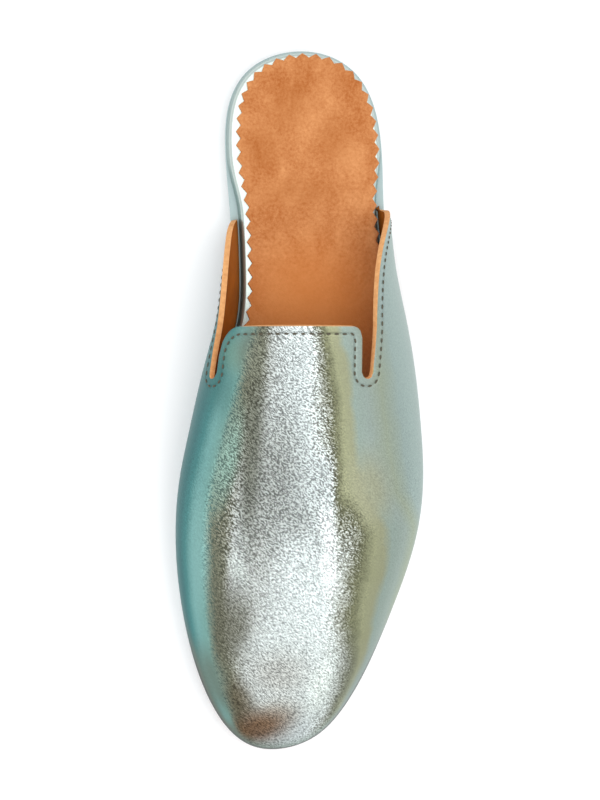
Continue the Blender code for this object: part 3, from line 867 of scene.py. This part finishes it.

# Pearlised foil leather: sheepskin with a thin metal foil pressed on it. It is painted
# silver where it faces up, a painted reflection of the overhead light, and teal, olive,
# gold and blue-grey on its flanks, the foil's own pearly tints together with painted
# reflections of the darker room. Its grain is fine creases under 1 mm apart, drawn out
# aslant, which break the crown into bright and dark specks, painted glints and painted
# shade in its colour, and fade on the flanks.
GRAIN_SIZE = 0.00047
GRAIN_TURN = math.radians(-42.0)
GRAIN_STRETCH = 2.0

# Place along the slipper, and how strong the grain is there
GRAIN_STRENGTH = (
    (-0.115, 0.75),
    (-0.086, 0.72),
    (-0.062, 0.88),
    (-0.033, 2.10),
    (-0.014, 1.50),
    (0.010, 1.10),
)

# Place along the slipper, and how far the silver, a painted reflection of the overhead
# # light, spreads to the lateral side there
SILVER_SPREAD = (
    (-0.115, 3.0),
    (-0.104, 2.70),
    (-0.090, 2.05),
    (-0.076, 1.68),
    (-0.062, 1.58),
    (-0.047, 1.48),
    (-0.040, 1.18),
    (-0.033, 0.95),
    (-0.018, 0.87),
    (-0.004, 0.93),
    (0.010, 0.98),
)

# Lean to the medial (below 0) or lateral side, and the tint there: the foil's own tint
# # with painted reflection, silver for the overhead light and darker for the room
FOIL_TINTS_AND_REFLECTIONS = (
    (-0.86, "#3f6e6f"),
    (-0.74, "#4c8382"),
    (-0.60, "#79aaa6"),
    (-0.46, "#7ca79f"),
    (-0.40, "#74877a"),
    (-0.34, "#666959"),
    (-0.27, "#666858"),
    (-0.22, "#83867c"),
    (-0.16, "#9ba09c"),
    (-0.05, "#a7aeac"),
    (0.05, "#bac3c2"),
    (0.08, "#c8d1cf"),
    (0.12, "#969a90"),
    (0.16, "#6a6c53"),
    (0.19, "#7b7e63"),
    (0.22, "#949778"),
    (0.27, "#95987c"),
    (0.32, "#91a198"),
    (0.42, "#96a49c"),
    (0.55, "#98a391"),
    (0.75, "#94a5a0"),
)

# Patches of painted light and shade on the foil: painted highlights on ridges, painted
# # shade in troughs and folds, and painted reflections, teal on the inner flank and brown
# # at the toe tip, in the same order of values as the suede's
FOIL_LIGHT_AND_SHADE_PATCHES = (
    (-0.0300, 0.0072, 0.0067, 0.0153, 6.0, 0.55, "#487571"),
    (-0.0248, 0.0167, 0.0050, 0.0080, 0.0, 0.55, "#7b9a87"),
    (-0.0271, -0.0207, 0.0048, 0.0201, -13.0, 0.80, "#7c9a8f"),
    (-0.0370, -0.0563, 0.0038, 0.0239, 0.0, 0.55, "#8cbab6"),
    (-0.0316, -0.1022, 0.0057, 0.0162, 24.0, 0.80, "#6c7a6e"),
    (-0.0252, -0.0800, 0.0080, 0.0165, 0.0, 0.72, "#57574a"),
    (-0.0184, -0.0187, 0.0048, 0.0411, -3.0, 0.92, "#585b4e"),
    (-0.0191, 0.0174, 0.0057, 0.0115, 0.0, 0.70, "#747869"),
    (-0.0100, -0.0290, 0.0105, 0.0296, -4.0, 0.62, "#787c76"),
    (-0.0014, -0.0431, 0.0067, 0.0086, 0.0, 0.45, "#858a85"),
    (-0.0231, -0.0608, 0.0029, 0.0067, 30.0, 0.55, "#b0b9b4"),
    (0.0010, -0.0990, 0.0200, 0.0210, 0.0, 0.50, "#a1a8a4"),
    (-0.0082, -0.0996, 0.0124, 0.0105, 0.0, 0.62, "#84837d"),
    (-0.0099, -0.1142, 0.0124, 0.0062, 10.0, 0.75, "#7d786d"),
    (0.0092, -0.0478, 0.0034, 0.0120, 5.0, 0.70, "#dfe7e5"),
    (0.0100, -0.0625, 0.0040, 0.0100, 12.0, 0.70, "#dfe7e5"),
    (0.0080, -0.1046, 0.0053, 0.0134, -14.0, 0.85, "#c4cdc7"),
    (0.0243, -0.0320, 0.0081, 0.0153, 10.0, 0.85, "#9a9c82"),
    (-0.0217, -0.1096, 0.0057, 0.0105, 25.0, 0.80, "#554d3b"),
    (-0.0150, -0.1195, 0.0130, 0.0072, 14.0, 0.90, "#654a30"),
)
foil_leather, tree, shader = new_material("pearlised_foil_leather")
coords = add_node(tree, "ShaderNodeTexCoord")
sway = add_node(
    tree, "ShaderNodeTexNoise", {}, {"Vector": coords["Object"], "Scale": 160.0, "Detail": 2.0},
)
swayed = add_node(
    tree, "ShaderNodeVectorMath", MULTIPLY_ADD,
    {0: sway["Color"], 1: (0.0022, 0.0022, 0.0022), 2: coords["Object"]},
)
aslant = add_node(
    tree, "ShaderNodeMapping", {"vector_type": "TEXTURE"},
    {"Vector": swayed[0], "Rotation": (0.0, 0.0, GRAIN_TURN), "Scale": (GRAIN_STRETCH, 1.0, 1.0)},
)
creases = add_node(
    tree, "ShaderNodeTexNoise", {},
    {"Vector": aslant[0], "Scale": 1.0 / GRAIN_SIZE, "Detail": 2.0, "Roughness": 0.6},
)
normal = add_node(tree, "ShaderNodeSeparateXYZ", {}, {0: coords["Normal"]})
spot = add_node(tree, "ShaderNodeSeparateXYZ", {}, {0: coords["Object"]})
cloud = add_node(
    tree, "ShaderNodeTexNoise", {},
    {"Vector": coords["Object"], "Scale": 70.0, "Detail": 3.0, "Roughness": 0.55},
)


def along_foot(tree, spot, places):
    """Value that changes along the slipper, straight between the given places."""
    start = places[0][0]
    run = places[-1][0] - start
    most = max(value for _, value in places)
    share = add_node(
        tree, "ShaderNodeMapRange", {},
        {"Value": spot["Y"], "From Min": start, "From Max": start + run},
    )
    greys = [((along - start) / run, (value / most,) * 3 + (1.0,)) for along, value in places]
    grey = colour_ramp(tree, share[0], greys)
    scaled = add_node(tree, "ShaderNodeMath", {"operation": "MULTIPLY"}, {0: grey, 1: most})
    return scaled[0]


# The tint, with its painted reflection, follows how far the leather leans to a side.
# # The silver, the painted reflection of the overhead light, is wider at the toe.
spread = along_foot(tree, spot, SILVER_SPREAD)
narrowed = add_node(tree, "ShaderNodeMath", {"operation": "DIVIDE"}, {0: normal["X"], 1: spread})
to_lateral = add_node(tree, "ShaderNodeMath", {"operation": "GREATER_THAN"}, {0: normal["X"], 1: 0.0})
lean = add_node(
    tree, "ShaderNodeMix", {"data_type": "FLOAT"},
    {0: to_lateral[0], 2: normal["X"], 3: narrowed[0]},
)
to_side = add_node(tree, "ShaderNodeMath", {"operation": "ADD"}, {0: lean[0], 1: 0.13})
off_crown = add_node(tree, "ShaderNodeMath", {"operation": "ABSOLUTE"}, {0: to_side[0]})
crown = add_node(
    tree, "ShaderNodeMapRange", SMOOTH,
    {"Value": off_crown[0], "From Min": 0.27, "From Max": 0.37, "To Min": 1.0, "To Max": 0.10},
)
centred = add_node(tree, "ShaderNodeMath", {"operation": "SUBTRACT"}, {0: creases["Fac"], 1: 0.5})
strength = along_foot(tree, spot, GRAIN_STRENGTH)
masked = add_node(tree, "ShaderNodeMath", {"operation": "MULTIPLY"}, {0: crown[0], 1: strength})
grain = add_node(tree, "ShaderNodeMath", {"operation": "MULTIPLY"}, {0: centred[0], 1: masked[0]})
patchy = add_node(tree, "ShaderNodeMath", MULTIPLY_ADD, {0: cloud["Fac"], 1: 0.10, 2: lean[0]})
swing = add_node(
    tree, "ShaderNodeMapRange", {},
    {"Value": lean[0], "From Min": -0.05, "From Max": 0.05, "To Min": 0.28, "To Max": -0.15},
)
grainy = add_node(tree, "ShaderNodeMath", MULTIPLY_ADD, {0: grain[0], 1: swing[0], 2: patchy[0]})
place = add_node(
    tree, "ShaderNodeMapRange", {}, {"Value": grainy[0], "From Min": -0.95, "From Max": 1.05},
)
leaning_tints_and_reflections = [((leaning + 1.0) / 2.0, linear(tint)) for leaning, tint in FOIL_TINTS_AND_REFLECTIONS]
foil_with_painted_reflection = colour_ramp(tree, place[0], leaning_tints_and_reflections)
painted_light_patches = tint_patches(tree, coords, foil_with_painted_reflection, FOIL_LIGHT_AND_SHADE_PATCHES)

# The patches of painted light and shade lie on what faces up and end where the wall turns under.
facing_up = add_node(
    tree, "ShaderNodeMapRange", SMOOTH, {"Value": normal["Z"], "From Min": -0.05, "From Max": 0.18},
)
painted_light_on_top = add_node(tree, "ShaderNodeMix", RGBA, {0: facing_up[0], 6: foil_with_painted_reflection, 7: painted_light_patches})

# The steep wall round the toe is a smooth aqua grey, greener on its inner side, and
# # darkened where it tucks under, a painted shade line under the widest line.
low = add_node(
    tree, "ShaderNodeMapRange", SMOOTH,
    {"Value": spot["Z"], "From Min": 0.0163, "From Max": 0.0200, "To Min": 1.0, "To Max": 0.0},
)
steep = add_node(
    tree, "ShaderNodeMapRange", SMOOTH, {"Value": normal["X"], "From Min": 0.52, "From Max": 0.72},
)
wall = add_node(tree, "ShaderNodeMath", {"operation": "MAXIMUM"}, {0: low[0], 1: steep[0]})
toe_end = add_node(
    tree, "ShaderNodeMapRange", SMOOTH,
    {"Value": spot["Y"], "From Min": -0.105, "From Max": -0.070, "To Min": 1.0, "To Max": 0.0},
)
toe_wall = add_node(tree, "ShaderNodeMath", {"operation": "MULTIPLY"}, {0: wall[0], 1: toe_end[0]})
tucked = add_node(
    tree, "ShaderNodeMapRange", SMOOTH,
    {"Value": spot["Z"], "From Min": 0.0154, "From Max": 0.0172},
)
outer_side = add_node(
    tree, "ShaderNodeMapRange", SMOOTH, {"Value": spot["X"], "From Min": -0.024, "From Max": 0.002},
)
aqua_grey = add_node(
    tree, "ShaderNodeMix", RGBA, {0: outer_side[0], 6: linear("#606a60"), 7: linear("#8d9a94")},
)
wall_tint_with_painted_shade = add_node(tree, "ShaderNodeMix", RGBA, {0: tucked[0], 6: linear("#2f3a36"), 7: aqua_grey[2]})
walled = add_node(tree, "ShaderNodeMix", RGBA, {0: toe_wall[0], 6: painted_light_on_top[2], 7: wall_tint_with_painted_shade[2]})
# The grain scales the colour up and down on the crown: painted glints and painted shade of its creases.
painted_glint_and_shade = add_node(
    tree, "ShaderNodeMapRange", {},
    {"Value": grain[0], "From Min": -0.12, "From Max": 0.12, "To Min": 0.45, "To Max": 1.55},
)
with_painted_glints = add_node(
    tree, "ShaderNodeMix", {"data_type": "RGBA", "blend_type": "MULTIPLY"},
    {0: 1.0, 6: walled[2], 7: painted_glint_and_shade[0]},
)

# Along the seam the leather is drawn down a little by the thread, and the groove is painted darker, a
# painted shade.
seam = add_node(tree, "ShaderNodeAttribute", {"attribute_name": "from_cut_edge"})
near_seam = add_node(tree, "ShaderNodeMath", {"operation": "SUBTRACT"}, {0: seam["Fac"], 1: SEAM_INSET})
off_seam = add_node(tree, "ShaderNodeMath", {"operation": "ABSOLUTE"}, {0: near_seam[0]})
pressed = add_node(tree, "ShaderNodeMapRange", SMOOTH, {"Value": off_seam[0], "From Max": 0.0010})
seam_groove_shade = add_node(tree, "ShaderNodeMapRange", {}, {"Value": pressed[0], "To Min": 0.86, "To Max": 1.0})
seamed = add_node(
    tree, "ShaderNodeMix", {"data_type": "RGBA", "blend_type": "MULTIPLY"},
    {0: 1.0, 6: with_painted_glints[2], 7: seam_groove_shade[0]},
)
gloss = add_node(tree, "ShaderNodeMapRange", {}, {"Value": crown[0], "To Min": 0.48, "To Max": 0.38})
seam_bump = add_node(
    tree, "ShaderNodeBump", {}, {"Strength": 0.5, "Distance": 0.0003, "Height": pressed[0]},
)
grain_bump = add_node(
    tree, "ShaderNodeBump", {},
    {"Strength": 0.7, "Distance": 0.0004, "Height": grain[0], "Normal": seam_bump[0]},
)
feed(tree, shader, {
    "Base Color": seamed[2], "Metallic": 0.85, "Roughness": gloss[0], "Normal": grain_bump[0],
})


def flecked_material(name, scale, detail, dark, light, roughness, relief, glint=0.5):
    """Material whose fine flecks run from a dark to a light tint and stand out in relief."""
    material, tree, shader = new_material(name)
    coords = add_node(tree, "ShaderNodeTexCoord")
    fleck = add_node(
        tree, "ShaderNodeTexNoise", {},
        {"Vector": coords["Object"], "Scale": scale, "Detail": detail},
    )
    tint = add_node(tree, "ShaderNodeMix", RGBA, {0: fleck["Fac"], 6: linear(dark), 7: linear(light)})
    feed(tree, shader, {"Base Color": tint[2], "Roughness": roughness, "Specular IOR Level": glint})
    if relief:
        bump = add_node(
            tree, "ShaderNodeBump", {},
            {"Strength": relief, "Distance": 0.0002, "Height": fleck["Fac"]},
        )
        feed(tree, shader, {"Normal": bump[0]})
    return material


# Kid lining: a thin tan leather with a smooth, slightly waxy face.
lining = flecked_material("tan_kid_lining", 120.0, 5.0, "#834809", "#b66818", 0.7, 0.3, 0.25)

# Raw cut edge: the bare fibres of both leathers, pale orange tan and quite matt.
raw_edge = flecked_material("raw_cut_leather_edge", 700.0, 4.0, "#bb7942", "#ecb77b", 0.9, 0.5)

for material in (foil_leather, lining, raw_edge):
    shell_data.materials.append(material)
shell = bpy.data.objects.new("upper_shell", shell_data)
bpy.context.collection.objects.link(shell)
shell_tree = BVHTree.FromPolygons(
    [vertex.co.copy() for vertex in shell_data.vertices],
    [tuple(face.vertices) for face in shell_data.polygons],
)
wall = shell.modifiers.new("wall", "SOLIDIFY")
wall.thickness = UPPER_WALL
wall.offset = -1.0
wall.use_even_offset = True
wall.material_offset = 1
wall.material_offset_rim = 2
ease = shell.modifiers.new("ease", "BEVEL")
ease.width = CUT_EDGE_EASE
ease.segments = 2
ease.limit_method = "ANGLE"
ease.angle_limit = CUT_EDGE_ANGLE
ease.use_clamp_overlap = True
graph = bpy.context.evaluated_depsgraph_get()
upper_data = bpy.data.meshes.new_from_object(shell.evaluated_get(graph))
upper_data.name = "upper_leather_wall"
upper_data.shade_smooth()
bpy.data.objects.remove(shell)
new_piece(upper_data, None, "upper")


# Seam. One row of lockstitch runs along the whole cut edge, a steady distance in
# from it, in a dark olive thread. Each stitch is pulled a little into the leather.

STITCH_PITCH = 0.0030
STITCH_LENGTH = 0.0019
THREAD_WIDTH = 0.0008
THREAD_SINK = 0.00006

# Points of the cut edge left out at each tip, every which one is used, and the share
# of the seam's distance below which a place lies too near another stretch of edge
END_POINTS = 40
PATH_STEP = 3
CROWDED = 0.85

tangent = np.gradient(cut_edge, axis=0)
tangent /= np.linalg.norm(tangent, axis=1, keepdims=True)
seam_points = []
seam_normals = []
for point, direction in list(zip(cut_edge, tangent))[END_POINTS:-END_POINTS:PATH_STEP]:
    edge_normal = shell_tree.find_nearest(Vector(point))[1]
    inwards = Vector(direction).cross(edge_normal)
    place, face_normal, _, _ = shell_tree.find_nearest(Vector(point) + inwards * SEAM_INSET)
    if tree_of_edge.find(place)[2] < SEAM_INSET * CROWDED:
        continue
    seam_points.append(place - face_normal * THREAD_SINK)
    seam_normals.append(face_normal)
seam_data = bpy.data.meshes.new("seam_path")
seam_data.from_pydata(seam_points, [(i, i + 1) for i in range(len(seam_points) - 1)], [])
up = seam_data.attributes.new("leather_normal", "FLOAT_VECTOR", "POINT")
up.data.foreach_set("vector", [value for vector in seam_normals for value in vector])
seam_line = bpy.data.objects.new("seam_path", seam_data)
bpy.context.collection.objects.link(seam_line)

# Bonded polyester thread: smooth, twisted and slightly shiny.
thread = flecked_material("bonded_thread", 1500.0, 2.0, "#332e22", "#5a533f", 0.55, 0.0)

stitches = bpy.data.node_groups.new("stitches_along_a_path", "GeometryNodeTree")
stitches.is_modifier = True
stitches.interface.new_socket("Geometry", in_out="INPUT", socket_type="NodeSocketGeometry")
sewn_with = (
    ("Stitch pitch", "NodeSocketFloat", STITCH_PITCH),
    ("Stitch length", "NodeSocketFloat", STITCH_LENGTH),
    ("Thread width", "NodeSocketFloat", THREAD_WIDTH),
    ("Thread", "NodeSocketMaterial", thread),
)
sockets = [
    stitches.interface.new_socket(name, in_out="INPUT", socket_type=kind)
    for name, kind, value in sewn_with
]
stitches.interface.new_socket("Geometry", in_out="OUTPUT", socket_type="NodeSocketGeometry")
inlet = add_node(stitches, "NodeGroupInput")
path = add_node(stitches, "GeometryNodeMeshToCurve", {}, {"Mesh": inlet["Geometry"]})
spaced = add_node(
    stitches, "GeometryNodeResampleCurve", {"mode": "LENGTH"},
    {"Curve": path[0], "Length": inlet["Stitch pitch"]},
)
along_seam = add_node(stitches, "GeometryNodeInputTangent")
leather_up = add_node(
    stitches, "GeometryNodeInputNamedAttribute", {"data_type": "FLOAT_VECTOR"}, {"Name": "leather_normal"},
)
turned = add_node(stitches, "FunctionNodeAlignRotationToVector", {"axis": "X"}, {"Vector": along_seam[0]})
stood = add_node(
    stitches, "FunctionNodeAlignRotationToVector", {"axis": "Z", "pivot_axis": "X"},
    {"Rotation": turned[0], "Vector": leather_up[0]},
)
ball = add_node(stitches, "GeometryNodeMeshUVSphere", {}, {"Segments": 8, "Rings": 6, "Radius": 0.5})
size = add_node(
    stitches, "ShaderNodeCombineXYZ", {},
    {"X": inlet["Stitch length"], "Y": inlet["Thread width"], "Z": inlet["Thread width"]},
)
placed = add_node(
    stitches, "GeometryNodeInstanceOnPoints", {},
    {"Points": spaced[0], "Instance": ball["Mesh"], "Rotation": stood[0], "Scale": size[0]},
)
real = add_node(stitches, "GeometryNodeRealizeInstances", {}, {"Geometry": placed[0]})
smooth = add_node(stitches, "GeometryNodeSetShadeSmooth", {}, {"Geometry": real[0]})
dressed = add_node(
    stitches, "GeometryNodeSetMaterial", {}, {"Geometry": smooth[0], "Material": inlet["Thread"]},
)
add_node(stitches, "NodeGroupOutput", {}, {"Geometry": dressed[0]})

sewing = seam_line.modifiers.new("stitches", "NODES")
sewing.node_group = stitches
for socket, (name, kind, value) in zip(sockets, sewn_with):
    sewing[socket.identifier] = value
graph = bpy.context.evaluated_depsgraph_get()
stitch_data = bpy.data.meshes.new_from_object(seam_line.evaluated_get(graph))
stitch_data.name = "throat_stitches"
bpy.data.objects.remove(seam_line)
new_piece(stitch_data, None, None)
